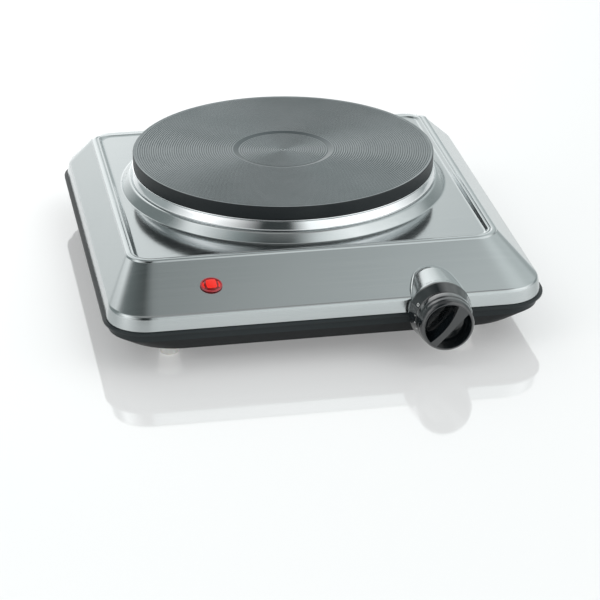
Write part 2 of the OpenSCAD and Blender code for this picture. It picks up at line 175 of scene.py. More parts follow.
def soften(track, steps=4):
    """Rounds the corners of a line. Each entry is (point, reach): reach is how far the curve
    starts before the corner and ends after it, and 0 keeps the corner."""
    out = []
    for i, (point, reach) in enumerate(track):
        if reach <= 0 or i in (0, len(track) - 1):
            out.append(point)
            continue
        to_last, to_next = track[i - 1][0] - point, track[i + 1][0] - point
        start = point + to_last.normalized() * min(reach, 0.45 * to_last.length)
        end = point + to_next.normalized() * min(reach, 0.45 * to_next.length)
        for s in range(steps + 1):
            t = s / steps
            out.append((1 - t) ** 2 * start + 2 * t * (1 - t) * point + t * t * end)
    return out


def profile(*points, steps=4):
    """A rounded outline from (radius, height, reach) entries."""
    return soften([(Vector((r, z)), reach) for r, z, reach in points], steps)


class Shape:
    """Vertices and faces of one piece, gathered from loops."""

    def __init__(self):
        self.verts = []
        self.faces = []

    def loft(self, loops, closed=False, caps=True):
        """Skins a run of loops with the same number of points. closed joins the last loop to
        the first, and caps fills the two end loops."""
        first, count = len(self.verts), len(loops[0])
        for loop in loops:
            self.verts.extend(Vector(p) for p in loop)
        rows = len(loops)
        for i in range(rows if closed else rows - 1):
            a, b = first + i * count, first + (i + 1) % rows * count
            for k in range(count):
                n = (k + 1) % count
                self.faces.append((a + k, a + n, b + n, b + k))
        if caps and not closed:
            last = first + (rows - 1) * count
            self.faces.append(tuple(range(first + count - 1, first - 1, -1)))
            self.faces.append(tuple(range(last, last + count)))
        return self

    def lathe(self, outline, axis=UPRIGHT, segments=96, closed=False, centre=(0, 0)):
        """Turns an outline of (radius, height) round the axis's local z."""
        loops = []
        for r, z in outline:
            loops.append([
                axis @ Vector((centre[0] + r * math.cos(TAU * k / segments),
                               centre[1] + r * math.sin(TAU * k / segments), z))
                for k in range(segments)])
        return self.loft(loops, closed=closed)

    def piece(self, name, body, sharp=40):
        """Makes the Blender object, in metres in the CAD frame, and rides it on a body."""
        mesh = bpy.data.meshes.new(name)
        shift = Vector((PLATE_X, PLATE_Y, 0))
        mesh.from_pydata([(v + shift) * MM for v in self.verts], [], self.faces)
        work = bmesh.new()
        work.from_mesh(mesh)
        bmesh.ops.recalc_face_normals(work, faces=work.faces)
        work.to_mesh(mesh)
        work.free()
        mesh.shade_smooth()
        mesh.set_sharp_from_angle(angle=math.radians(sharp))
        made = bpy.data.objects.new(name, mesh)
        scene.collection.objects.link(made)
        if body:
            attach(made, body)
        return made


def bake(made, sharp=None):
    """Applies a piece's modifiers to its mesh."""
    graph = bpy.context.evaluated_depsgraph_get()
    mesh = bpy.data.meshes.new_from_object(made.evaluated_get(graph))
    made.modifiers.clear()
    made.data = mesh
    if sharp is not None:
        mesh.shade_smooth()
        mesh.set_sharp_from_angle(angle=math.radians(sharp))


def carve(made, cutters, sharp=40):
    """Cuts closed shapes out of a piece."""
    for cutter in cutters:
        tool = cutter.piece("cutter", None)
        cut = made.modifiers.new("cut", "BOOLEAN")
        cut.operation = "DIFFERENCE"
        cut.solver = "EXACT"
        cut.object = tool
        bake(made, sharp)
        bpy.data.objects.remove(tool)


def soft_edges(made, width, angle=35, segments=3):
    """Rounds a piece's edges by a small radius, in millimetres."""
    bevel = made.modifiers.new("edge", "BEVEL")
    bevel.width = width * MM
    bevel.segments = segments
    bevel.limit_method = "ANGLE"
    bevel.angle_limit = math.radians(angle)
    bevel.harden_normals = False
    bake(made, sharp=50)


def box_shape(low, high, axis=UPRIGHT):
    """A closed box between two corners."""
    def corner_loop(z):
        return [axis @ Vector(p) for p in ((low[0], low[1], z), (high[0], low[1], z),
                                           (high[0], high[1], z), (low[0], high[1], z))]
    return Shape().loft([corner_loop(low[2]), corner_loop(high[2])])


def outline(edge, z, side=0.0, front=None, back=None, per_side=56, per_corner=12):
    """A rounded rectangle, moved inwards by side, front and back, as a loop of points."""
    front = side if front is None else front
    back = side if back is None else back
    half, near, far = edge[0] - side, edge[1] - front, edge[2] - back
    r = max(edge[3] - side, 0.5)
    loop = []
    turns = ((half - r, far - r), (r - half, far - r), (r - half, r - near), (half - r, r - near))
    for i, (cx, cy) in enumerate(turns):
        for k in range(per_corner + 1):
            a = TAU / 4 * (i + k / per_corner)
            loop.append(Vector((cx + r * math.cos(a), cy + r * math.sin(a), z)))
        nx, ny = turns[(i + 1) % 4]
        a = TAU / 4 * (i + 1)
        start = loop[-1]
        end = Vector((nx + r * math.cos(a), ny + r * math.sin(a), z))
        for k in range(1, per_side):
            loop.append(start.lerp(end, k / per_side))
    return loop


def soften_loops(entries, steps=4):
    """Rounds a stack of loops, point by point. Each entry is (loop, reach)."""
    tracks = [soften([(loop[k], reach) for loop, reach in entries], steps)
              for k in range(len(entries[0][0]))]
    return [list(row) for row in zip(*tracks)]


# ---- Materials ----

class Paint:
    """A node material with one Principled shader, built a piece at a time."""

    def __init__(self, name, color, rough, metal=0.0, **sockets):
        self.material = bpy.data.materials.new(name)
        self.material.use_nodes = True
        self.nodes = self.material.node_tree.nodes
        self.links = self.material.node_tree.links
        self.shader = self.nodes["Principled BSDF"]
        self.color = (*color, 1.0)
        self.rough = rough
        self.set("Base Color", self.color)
        self.set("Roughness", rough)
        self.set("Metallic", metal)
        for socket, value in sockets.items():
            self.set(socket.replace("_", " "), value)
        self.where = self.nodes.new("ShaderNodeTexCoord").outputs["Object"]

    def set(self, socket, value):
        self.shader.inputs[socket].default_value = value

    def noise(self, scale, detail=4.0, stretch=(1, 1, 1), rough=0.5):
        """Noise with `scale` features per metre, stretched along an axis by a number below 1."""
        mapping = self.nodes.new("ShaderNodeMapping")
        mapping.inputs["Scale"].default_value = stretch
        self.links.new(self.where, mapping.inputs["Vector"])
        node = self.nodes.new("ShaderNodeTexNoise")
        node.inputs["Scale"].default_value = scale
        node.inputs["Detail"].default_value = detail
        node.inputs["Roughness"].default_value = rough
        self.links.new(mapping.outputs["Vector"], node.inputs["Vector"])
        return node.outputs["Fac"]

    def ranged(self, fac, low, high, start=0.3, end=0.7):
        """Maps a factor to low..high."""
        node = self.nodes.new("ShaderNodeMapRange")
        node.inputs["From Min"].default_value = start
        node.inputs["From Max"].default_value = end
        node.inputs["To Min"].default_value = low
        node.inputs["To Max"].default_value = high
        self.links.new(fac, node.inputs["Value"])
        return node.outputs["Result"]

    def vary_rough(self, fac, spread, start=0.3, end=0.7):
        self.links.new(self.ranged(fac, self.rough - spread, self.rough + spread, start, end),
                       self.shader.inputs["Roughness"])

    def vary_color(self, fac, other, start=0.35, end=0.65):
        """Blends the base colour towards another one by a factor."""
        mix = self.nodes.new("ShaderNodeMix")
        mix.data_type = "RGBA"
        last = self.shader.inputs["Base Color"]
        if last.is_linked:
            self.links.new(last.links[0].from_socket, mix.inputs["A"])
        else:
            mix.inputs["A"].default_value = self.color
        mix.inputs["B"].default_value = (*other, 1.0)
        self.links.new(self.ranged(fac, 0.0, 1.0, start, end), mix.inputs["Factor"])
        self.links.new(mix.outputs["Result"], last)

    def bump(self, fac, depth_mm, strength=1.0):
        """Adds relief of a real depth on top of any relief that is already there."""
        node = self.nodes.new("ShaderNodeBump")
        node.inputs["Distance"].default_value = depth_mm * MM
        node.inputs["Strength"].default_value = strength
        self.links.new(fac, node.inputs["Height"])
        last = self.shader.inputs["Normal"]
        if last.is_linked:
            self.links.new(last.links[0].from_socket, node.inputs["Normal"])
        self.links.new(node.outputs["Normal"], last)


def steel_brushed(name="satin_steel", rough=0.15, tone=1.0):
    # A tone below 1 darkens the steel's colour: on the panel that is painted shade.
    def shade(*color):
        return tuple(c * tone for c in color)

    paint = Paint(name, shade(0.465, 0.495, 0.498), rough, metal=1.0)
    grain = paint.noise(2600, 3, stretch=(0.012, 1, 1))
    streak = paint.noise(420, 2, stretch=(0.02, 1, 1))
    cloud = paint.noise(16, 2)
    paint.vary_rough(streak, 0.015)
    paint.vary_color(cloud, shade(0.45, 0.482, 0.486))
    paint.vary_color(streak, shade(0.475, 0.505, 0.508), 0.45, 0.8)
    paint.bump(grain, 0.001, 0.07)
    return paint.material


def chrome():
    paint = Paint("polished_chrome", (0.80, 0.82, 0.83), 0.09, metal=1.0)
    paint.vary_rough(paint.noise(120, 4), 0.02)
    paint.bump(paint.noise(60, 2), 0.01, 0.2)
    return paint.material


def turned_iron():
    paint = Paint("turned_cast_iron", (0.215, 0.24, 0.245), 0.34, metal=0.9)
    pores = paint.noise(2200, 5, rough=0.7)
    cloud = paint.noise(38, 4)
    paint.vary_color(cloud, (0.2, 0.226, 0.23))
    paint.vary_color(pores, (0.18, 0.202, 0.206), 0.62, 0.75)
    paint.vary_rough(cloud, 0.05)
    paint.bump(pores, 0.003, 0.1)
    return paint.material


def groove_shade_iron():
    # A darker copy of the plate's iron for the groove walls: painted shade in the grooves.
    paint = Paint("groove_cast_iron_painted_shade", (0.12, 0.14, 0.145), 0.36, metal=0.9)
    pores = paint.noise(2200, 5, rough=0.7)
    paint.vary_color(pores, (0.1, 0.115, 0.12), 0.5, 0.75)
    paint.vary_rough(pores, 0.05)
    paint.bump(pores, 0.003, 0.1)
    return paint.material


def dark_iron():
    paint = Paint("blackened_iron", (0.012, 0.017, 0.019), 0.42, Specular_IOR_Level=0.35)
    grit = paint.noise(1500, 5, rough=0.7)
    paint.vary_color(grit, (0.018, 0.023, 0.026), 0.5, 0.75)
    paint.vary_rough(grit, 0.06)
    paint.bump(grit, 0.04, 0.4)
    return paint.material


def black_base():
    paint = Paint("moulded_black", (0.036, 0.043, 0.046), 0.3, Specular_IOR_Level=0.12)
    grain = paint.noise(3200, 3)
    cloud = paint.noise(25, 3)
    paint.vary_color(cloud, (0.031, 0.038, 0.04))
    paint.vary_rough(cloud, 0.04)
    paint.bump(grain, 0.004, 0.2)
    return paint.material


def under_base_painted_shade():
    """The base's lower side: duller than its rim, and darker in colour, which is painted shade."""
    paint = Paint("moulded_black_matt_painted_shade", (0.008, 0.01, 0.011), 0.55)
    grain = paint.noise(2400, 4)
    paint.vary_color(grain, (0.012, 0.014, 0.015))
    paint.vary_rough(grain, 0.06)
    paint.bump(grain, 0.01, 0.3)
    paint.set("Specular IOR Level", 0.25)
    return paint.material


def knob_black():
    paint = Paint("gloss_black", (0.007, 0.010, 0.012), 0.14, Coat_Weight=0.8,
                  Coat_Roughness=0.05, Specular_IOR_Level=0.6)
    cloud = paint.noise(220, 3)
    paint.vary_rough(cloud, 0.03)
    paint.vary_color(paint.noise(900, 4), (0.012, 0.016, 0.018), 0.5, 0.8)
    paint.bump(paint.noise(5000, 2), 0.002, 0.3)
    return paint.material


def white_plastic():
    paint = Paint("white_moulded", (0.88, 0.88, 0.86), 0.35)
    paint.set("Subsurface Weight", 0.15)
    paint.set("Subsurface Scale", 0.002)
    paint.vary_color(paint.noise(300, 4), (0.82, 0.82, 0.79))
    paint.vary_rough(paint.noise(700, 3), 0.05)
    paint.bump(paint.noise(1800, 3), 0.02, 0.3)
    return paint.material


def print_white():
    paint = Paint("printed_white", (0.82, 0.83, 0.82), 0.45)
    paint.vary_color(paint.noise(1500, 3), (0.7, 0.71, 0.7))
    return paint.material


def red_plastic(name, color, rough, glow=0.0):
    paint = Paint(name, color, rough, Coat_Weight=0.15, Coat_Roughness=0.05,
                  Specular_IOR_Level=0.3)
    paint.set("Emission Color", (1.0, 0.02, 0.004, 1.0))
    paint.set("Emission Strength", glow)
    cells = paint.noise(900, 2)
    paint.vary_color(cells, tuple(c * 0.75 for c in color), 0.4, 0.7)
    paint.bump(paint.noise(700, 2), 0.03, 0.3)
    return paint.material


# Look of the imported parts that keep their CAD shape: colour, roughness, metal
PLAIN_LOOKS = {
    "heater": ((0.30, 0.27, 0.25), 0.45, 0.9),
    "magnesia": ((0.80, 0.78, 0.72), 0.85, 0.0),
    "galvanised": ((0.55, 0.58, 0.58), 0.38, 1.0),
    "ceramic": ((0.85, 0.83, 0.77), 0.55, 0.0),
    "brass": ((0.72, 0.53, 0.23), 0.28, 1.0),
    "steel": ((0.55, 0.56, 0.57), 0.3, 1.0),
    "aluminium": ((0.76, 0.77, 0.78), 0.35, 1.0),
    "chrome": ((0.80, 0.82, 0.83), 0.09, 1.0),
    "stainless": ((0.56, 0.585, 0.585), 0.26, 1.0),
    "black_base": ((0.05, 0.058, 0.06), 0.35, 0.0),
    "gland_black": ((0.025, 0.026, 0.027), 0.45, 0.0),
    "white_feet": ((0.88, 0.88, 0.86), 0.35, 0.0),
    "knob_black": ((0.012, 0.016, 0.018), 0.15, 0.0),
    "red_lens": ((0.6, 0.02, 0.02), 0.15, 0.0),
    "cast_iron": ((0.2, 0.22, 0.225), 0.45, 0.8),
    "lamp_glass": ((0.9, 0.6, 0.4), 0.1, 0.0),
    "ivory_plastic": ((0.72, 0.66, 0.52), 0.4, 0.0),
    "wire_brown": ((0.16, 0.07, 0.03), 0.5, 0.0),
    "wire_black": ((0.02, 0.02, 0.02), 0.5, 0.0),
    "wire_blue": ((0.04, 0.12, 0.42), 0.5, 0.0),
    "wire_green": ((0.25, 0.45, 0.05), 0.5, 0.0),
    "wire_white": ((0.8, 0.8, 0.77), 0.5, 0.0),
}


def plain_look(name):
    """A worked surface for the parts that keep their CAD shape: cloudy tone and fine grain."""
    color, rough, metal = PLAIN_LOOKS[name]
    paint = Paint("plain_" + name, color, rough, metal=metal)
    cloud = paint.noise(90, 4)
    grain = paint.noise(1600, 4)
    paint.vary_color(cloud, tuple(c * 0.82 for c in color))
    paint.vary_rough(grain, min(0.06, rough / 2))
    paint.bump(grain, 0.015, 0.35)
    return paint.material


def dress_cad_nodes():
    slots = {s["node"]: s["material_slot"] for s in frame["record"]["subparts"]}
    looks = {}
    for node, made in frame["nodes"].items():
        name = slots[node]
        if name not in looks:
            looks[name] = plain_look(name)
        if not made.material_slots:
            made.data.materials.append(looks[name])
        for held in made.material_slots:
            held.material = looks[name]


dress_cad_nodes()


# ---- Cooking plate ----

def make_plate():
    """The turned plate: fine grooves round a shallow recess, and channels for the heating
    wires below."""
    pitch, depth, land = 1.365, 0.2, 0.42  # land is the flat share of the pitch
    recess_r, drop = 28.65, 0.62
    rim_r = PLATE_R - 0.7
    dark_below = TOP_Z - 1.2
    dark_beyond = PLATE_R - 0.35
    flat_enough = 0.97

    def top(r):
        return TOP_Z - (drop if r < recess_r else 0)

    points = [(0.25, TOP_Z - drop - 0.35, 0), (0.7, TOP_Z - drop - 0.05, 0.1)]
    r = 1.3
    while r + pitch < rim_r:
        near_step = abs(r + pitch / 2 - recess_r) < 0.55 * pitch
        if near_step:
            r += pitch
            continue
        z = top(r)
        points += [(r, z, 0), (r + land * pitch, z, 0),
                   (r + (0.5 + land / 2) * pitch, z - depth, 0)]
        r += pitch
        if r > recess_r > r - 2.2 * pitch and points[-1][0] < recess_r:
            points += [(recess_r - 0.02, TOP_Z - drop, 0.05), (recess_r, TOP_Z, 0.08)]
    points = sorted(points, key=lambda p: p[0])
    rib = RIM_Z - 6
    points += [(rim_r, TOP_Z, 0), (PLATE_R - 0.3, TOP_Z, 0.15), (PLATE_R, TOP_Z - 0.3, 0.2),
               (PLATE_R, RIM_Z + 0.5, 0.2), (PLATE_R - 0.4, RIM_Z, 0.2), (84, RIM_Z, 0),
               (84, rib, 0), (80, rib, 0), (80, RIM_Z + 2, 0), (65, RIM_Z + 2, 0), (65, rib, 0),
               (62, rib, 0), (62, RIM_Z + 2, 0), (47, RIM_Z + 2, 0), (47, rib, 0),
               (44, rib, 0), (44, RIM_Z + 2, 0), (29, RIM_Z + 2, 0), (29, rib, 0),
               (26, rib, 0), (26, RIM_Z, 0), (4, RIM_Z, 0)]
    plate = Shape().lathe(profile(*points), segments=256).piece("turned_plate", "housing", 12)
    plate.data.materials.append(turned_iron())
    plate.data.materials.append(dark_iron())
    plate.data.materials.append(groove_shade_iron())
    for face in plate.data.polygons:
        away = math.hypot(face.center.x / MM - PLATE_X, face.center.y / MM - PLATE_Y)
        if face.center.z < dark_below * MM or away > dark_beyond:
            face.material_index = 1
        # Tilted faces, the groove and recess walls, take the darker iron: painted shade in the
        # grooves.
        elif abs(face.normal.z) < flat_enough:
            face.material_index = 2
    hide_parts("cast_iron_plate")


# ---- Spill ring ----

def make_spill_ring():
    ring = Shape().lathe(profile(
        (84.4, RIM_Z, 0), (89.6, RIM_Z, 0.2), (90.5, RIM_Z - 0.1, 0.25),
        (90.55, RIM_Z - 0.75, 0.3), (89.9, RIM_Z - 1.2, 0.25), (90.7, RIM_Z - 2.6, 1.0),
        (RING_R - 0.15, RIM_Z - 5, 1.4), (RING_R, SHOULDER_Z + 0.3, 0.3),
        (RING_R - 0.5, SHOULDER_Z, 0.2), (86.6, SHOULDER_Z, 0), (86.6, SHOULDER_Z + 0.7, 0),
        (90.6, SHOULDER_Z + 0.8, 0), (89.3, RIM_Z - 1.6, 0), (84.4, RIM_Z - 0.8, 0)),
        segments=256, closed=True).piece("polished_spill_ring", "housing", 50)
    ring.data.materials.append(chrome())
    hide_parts("spill_ring")


# ---- Steel housing ----

# Rings of the shoulder round the plate: radius, height, reach
SHOULDER_BASE_R = 97.3
SHOULDER_TOP_R = 92.9
SHOULDER_HOLE_R = 86.0
INNER_LEAST_R = 93.4  # the sheet's inner side keeps this far from the plate's centre
SHOULDER_RINGS = (
    (SHOULDER_BASE_R + 1.0, PANEL_Z, 0), (SHOULDER_BASE_R, PANEL_Z, 0.4),
    (SHOULDER_BASE_R - 0.8, PANEL_Z + 0.9, 0.45), (SHOULDER_TOP_R, SHOULDER_Z - 0.45, 0.6),
    (SHOULDER_TOP_R - 1.1, SHOULDER_Z, 0.3), (SHOULDER_HOLE_R, SHOULDER_Z, 0.3))


# The bead fades from this far before its rear line, over this length
FADE_START = 13
FADE_LENGTH = 11


def shoulder_height(r):
    """Height of the shoulder's cone at a radius, used where it runs into the rear bead."""
    low_r, high_r = SHOULDER_BASE_R - 0.8, SHOULDER_TOP_R
    t = (low_r - r) / (low_r - high_r)
    return PANEL_Z + 0.9 + t * (SHOULDER_Z - 0.45 - PANEL_Z - 0.9) if t > 0 else PANEL_Z


def bead_loop(inset, up, plain_up, least_r):
    """One line of the rolled bead. The bead is wider at the front and fades into a plain
    rounded edge at the back. There the shoulder runs into it, so the line keeps outside a
    least radius and rises over the shoulder."""
    loop = outline(BEAD, 0.0, side=inset, front=inset, back=inset)
    for p in loop:
        t = min(max((p.y - BEAD[2] + FADE_START) / FADE_LENGTH, 0.0), 1.0)
        plain = t * t * (3 - 2 * t)
        p.z = BEAD_Z + up + (plain_up - up) * plain
        r = math.hypot(p.x, p.y)
        if r < least_r:
            p.x, p.y, r = p.x * least_r / r, p.y * least_r / r, least_r
        p.z = max(p.z, shoulder_height(r))
    return loop


def ring_loop(like, r, z, reach_in):
    """A circle whose points lie in the same directions as a loop's, kept inside that loop."""
    loop = []
    for p in like:
        away = math.hypot(p.x, p.y)
        use = min(r, away - reach_in)
        height = max(z, shoulder_height(use)) if use < r else z
        loop.append(Vector((p.x / away * use, p.y / away * use, min(height, SHOULDER_Z))))
    return loop


def housing_loops():
    """The pressed sheet as one closed run of loops: skirt, slope, bead, panel and shoulder
    outside, then back along the inner side."""
    under = PANEL_Z - SHEET
    bead = [  # inset, height over BEAD_Z, the same at the back, reach, least radius
        (-0.1, -0.8, -1.75, 0.2, 0.0), (0.3, 0.2, -1.4, 0.3, 94.45),
        (1.9, 0.55, -1.4, 0.8, 94.25), (3.1, 0.4, -1.45, 0.4, 94.1),
        (3.65, -0.3, -1.5, 0.12, 93.95), (4.15, 0.15, -1.5, 0.25, 93.8),
        (4.8, 0.05, -1.55, 0.35, 93.65), (6.5, -1.65, -1.7, 0.5, 93.4),
        (7.4, -1.8, -1.8, 0.3, 93.2), (8.1, -1.8, -1.8, 0.0, 93.05)]
    entries = [(outline(SKIRT, SKIRT_Z, 0.75), 0.0), (outline(SKIRT, SKIRT_Z), 0.6),
               (outline(BREAK, BREAK_Z), 1.8)]
    entries += [(bead_loop(inset, up, plain_up, least), reach)
                for inset, up, plain_up, reach, least in bead]
    edge = entries[-1][0]
    for i, (r, z, reach) in enumerate(SHOULDER_RINGS):
        entries.append((ring_loop(edge, r, z, 0.05 * (i + 1)), reach))
    rows = soften_loops(entries)
    inner = [ring_loop(edge, SHOULDER_HOLE_R, SHOULDER_Z - SHEET, 0.3),
             ring_loop(edge, RING_R, SHOULDER_Z - SHEET, 0.25),
             ring_loop(edge, SHOULDER_BASE_R - 0.9, under, 0.2)]
    lowered = [outline(BEAD, under, 5.2), outline(BEAD, BEAD_Z - 1.9, 4.6),
               outline(BEAD, BEAD_Z - 1.5, 1.4)]
    for loop in lowered[:2]:
        for p in loop:
            r = math.hypot(p.x, p.y)
            if r < INNER_LEAST_R:
                p.x, p.y = p.x * INNER_LEAST_R / r, p.y * INNER_LEAST_R / r
    lowered += [outline(BREAK, BREAK_Z - 0.4, 0.8), outline(SKIRT, SKIRT_Z + 0.3, 0.8)]
    return rows + inner + lowered


def boss_radius(front):
    """The boss narrows towards the back."""
    return BOSS_R - (BOSS_R - BOSS_REAR_R) * (BOSS_FACE - front) / BOSS_LENGTH


BOSS_CLEAR = BREAK[1] - 0.3  # in front of this, the boss stands clear of the slope


def boss_section(front):
    """The boss's cross-section at a distance in front of the plate's centre, as a closed loop:
    an arch that meets the slope in a small fillet, closed below, or a whole circle in front."""
    per_fillet, per_arch, per_floor = 6, 40, 22
    r = boss_radius(front)
    if front > BOSS_FACE - BOSS_EDGE_R:
        t = (front - (BOSS_FACE - BOSS_EDGE_R)) / BOSS_EDGE_R
        r -= BOSS_EDGE_R * (1 - math.sqrt(max(0.0, 1 - t * t)))
    loop = []
    if front > BOSS_CLEAR:
        count = 2 * per_fillet + per_arch + 1
        spread = math.radians(115)
        for k in range(count):
            a = -spread + 2 * spread * k / (count - 1)
            loop.append((KNOB_X + r * math.sin(a), KNOB_Z + r * math.cos(a)))
        for k in range(1, per_floor):
            a = spread + (TAU - 2 * spread) * k / per_floor
            loop.append((KNOB_X + r * math.sin(a), KNOB_Z + r * math.cos(a)))
        return [Vector((x, -front, z)) for x, z in loop]
    ground = slope_z(front)
    # The rear end is rounded: the arch sinks into the slope over the last stretch
    tail_length, tail_squash = 9.0, 0.075
    tail = (front - BOSS_END) / tail_length
    if tail < 1:
        r = r * (1 - tail_squash * (1 - max(tail, 0)) ** 2)
    widest_fillet, fillet_growth = 2.4, 0.3
    fillet = min(widest_fillet, 0.3 + (BREAK[1] - front) * fillet_growth)
    rise = ground + fillet - KNOB_Z
    foot = math.sqrt(max((r + fillet) ** 2 - rise ** 2, 1e-4))
    lean = math.atan2(foot, rise)
    left = []
    for k in range(per_fillet):
        a = lean * k / per_fillet
        left.append((-foot + fillet * math.sin(a), ground + fillet - fillet * math.cos(a)))
    arch = [(r * math.sin(-lean + 2 * lean * k / per_arch),
             KNOB_Z + r * math.cos(-lean + 2 * lean * k / per_arch)) for k in range(per_arch + 1)]
    right = [(-x, z) for x, z in reversed(left)]
    below = ground - 0.5
    floor = [(foot * (1 - 2 * k / per_floor), below) for k in range(1, per_floor)]
    return [Vector((KNOB_X + x, -front, z)) for x, z in left + arch + right + floor]


def make_housing():
    """The steel cover with the knob's boss. Its flat panel has a more polished finish and a darker
    tone, which is painted shade.
    """
    shape = Shape().loft(housing_loops(), closed=True)
    edge_rows, tail_rows = 6, 44
    stations = [BOSS_FACE - BOSS_EDGE_R * (1 - math.sin(TAU / 4 * k / edge_rows))
                for k in range(edge_rows, -1, -1)]
    tail_start = BOSS_CLEAR - 0.01
    stations += [BREAK[1] + 0.4, BOSS_CLEAR + 0.01, tail_start]
    for k in range(1, tail_rows + 1):
        t = math.sin(TAU / 4 * k / tail_rows)
        stations.append(tail_start + (BOSS_END - tail_start) * t)
    shape.loft([boss_section(front) for front in stations])
    housing = shape.piece("steel_housing", "housing", 35)
    housing.data.materials.append(steel_brushed())
    # The panel's copy of the steel: the lower roughness is its polish, the tone of 0.86 is painted
    # shade on the flat top.
    housing.data.materials.append(steel_brushed("satin_steel_panel_painted_shade", 0.12, 0.86))
    for face in housing.data.polygons:
        if face.normal.z > 0.99 and abs(face.center.z / MM - PANEL_Z) < 0.2:
            face.material_index = 1
    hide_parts("top_housing")


# ---- Base tray ----

def make_base():
    """The black tray: a bowl with a flange, vent slots below, and a notch for the boss."""
    wall = 2.0
    top = SKIRT_Z
    under = top - 1.8
    slot_width, slot_length, slot_pitch, slots_in_row = 3.0, 36, 12.5, 9
    entries = [
        (outline(BOTTOM, FOOT_H + wall, wall), 0.0),
        (outline(WALL, BEVEL_Z, wall), 0.5),
        (outline(WALL, top, wall), 0.3),
        (outline(FLANGE, top), 0.5), (outline(FLANGE, under), 0.5),
        (outline(WALL, under), 0.4), (outline(WALL, BEVEL_Z), 0.5),
        (outline(BOTTOM, FOOT_H), 0.8), (outline(BOTTOM, FOOT_H, 3.0), 0.0)]
    base = Shape().loft(soften_loops(entries, 3)).piece("black_base", "housing", 35)
    notch = Shape().lathe([(BOSS_R + 0.4, 155.9), (BOSS_R + 0.4, 161)], KNOB_AXIS)
    port = Shape().lathe([(7, 150), (7, 160)], KNOB_AXIS, segments=48)
    cutters = [notch, port]
    for row in (-72, 22):
        for k in range(slots_in_row):
            x = slot_pitch * (k - (slots_in_row - 1) / 2)
            cutters.append(box_shape((x - slot_width / 2, row, FOOT_H - 1),
                                     (x + slot_width / 2, row + slot_length, FOOT_H + 3)))
    carve(base, cutters, sharp=35)
    base.data.materials.clear()
    base.data.materials.append(black_base())
    base.data.materials.append(under_base_painted_shade())
    # Downward faces take the darker copy: painted shade under the base.
    for face in base.data.polygons:
        if face.normal.z < -0.3:
            face.material_index = 1
    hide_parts("base_tray")


# ---- Feet ----

def make_feet():
    look = white_plastic()
    for name in ("foot_front_left", "foot_front_right", "foot_rear_left", "foot_rear_right"):
        low, high = corners(name)
        centre = ((low.x + high.x) / 2 - PLATE_X, (low.y + high.y) / 2 - PLATE_Y)
        r = (high.x - low.x) / 2
        foot = Shape().lathe(profile(
            (1.8, FOOT_H, 0), (r, FOOT_H, 0.3), (r - 2.1, 0.7, 0.3), (r - 2.7, 0, 0.4),
            (3.6, 0, 0.2), (3.3, 0.4, 0.2), (3.3, 4, 0), (1.8, 4, 0)),
            segments=64, closed=True, centre=centre).piece("moulded_" + name, "housing", 50)
        foot.data.materials.append(look)
        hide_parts(name)


# ---- Knob ----

GRIP_ANGLE = math.radians(50)


def scoop_outline(side, r):
    """The outline of one scoop beside the grip bar, drawn with the bar along local x."""
    points = []
    if side > 0:  # the scoop with the bowed edge
        start, end = math.radians(14), math.radians(172)
        bow = 2.2
    else:
        start, end = math.radians(-169), math.radians(-19)
        bow = 0.0
    for k in range(41):
        a = start + (end - start) * k / 40
        points.append(Vector((r * math.cos(a), r * math.sin(a))))
    last, first = points[-1], points[0]
    across = (first - last).normalized()
    normal = Vector((-across.y, across.x))
    for k in range(1, 24):
        t = k / 24
        sag = bow * (4 * t * (1 - t)) * (-1 if side > 0 else 1)
        points.append(last.lerp(first, t) + normal * sag)
    return points


def make_knob():
    look = knob_black()
    collar = Shape().lathe(profile(
        (11, COLLAR_BACK, 0), (COLLAR_R - 0.4, COLLAR_BACK, 0.3), (COLLAR_R, COLLAR_BACK + 0.5, 0.3),
        (COLLAR_R, COLLAR_BACK + 1.7, 0.5), (COLLAR_R - 0.5, COLLAR_BACK + 3.2, 0.6),
        (COLLAR_R - 2.1, GRIP_BACK - 0.5, 0.4), (COLLAR_R - 2.6, GRIP_BACK - 0.02, 0.2),
        (11, GRIP_BACK - 0.02, 0)), KNOB_AXIS, segments=160, closed=True)
    collar = collar.piece("glossy_collar", "knob", 40)
    collar.data.materials.append(look)
    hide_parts("knob_collar")

    front = KNOB_FRONT
    body = Shape().lathe(profile(
        (0.3, GRIP_BACK, 0), (COLLAR_R - 2.7, GRIP_BACK, 0.1), (COLLAR_R - 2.6, GRIP_BACK + 0.4, 0.2),
        (COLLAR_R - 1.95, GRIP_BACK + 0.9, 0.35), (COLLAR_R - 1.85, GRIP_BACK + 5.2, 0.9),
        (COLLAR_R - 2.3, GRIP_BACK + 6.3, 0.3), (COLLAR_R - 2.35, front - 3.2, 0.9),
        (COLLAR_R - 3.0, front - 1.2, 1.0), (COLLAR_R - 4.1, front - 0.05, 0.7),
        (COLLAR_R - 4.6, front - 0.02, 0), (0.3, front - 0.02, 0), steps=5),
        KNOB_AXIS, segments=160)
    grip = body.piece("glossy_grip", "knob", 40)
    scoop_r = COLLAR_R - 4.7
    cutters = []
    turn = KNOB_AXIS @ Matrix.Rotation(GRIP_ANGLE, 4, "Z")
    for side in (1, -1):
        rim = scoop_outline(side, scoop_r)
        loops = []
        # Depth, size, and how far the bar's sloping side reaches out at that depth
        for depth, size, flank in ((1.0, 1.0, -9), (-0.3, 1.0, -9), (-2.6, 0.985, 1.7),
                                   (-5.3, 0.97, 3.2), (-8.8, 0.93, 3.5), (-10.2, 0.78, 4.4)):
            loops.append([turn @ Vector((p.x * size, side * max(side * p.y * size, flank),
                                         front + depth)) for p in rim])
        cutters.append(Shape().loft(loops))
    carve(grip, cutters, sharp=40)
    soft_edges(grip, 0.4, angle=50, segments=3)
    grip.data.materials.clear()
    grip.data.materials.append(look)
    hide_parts("knob_grip")
    make_knob_marks()


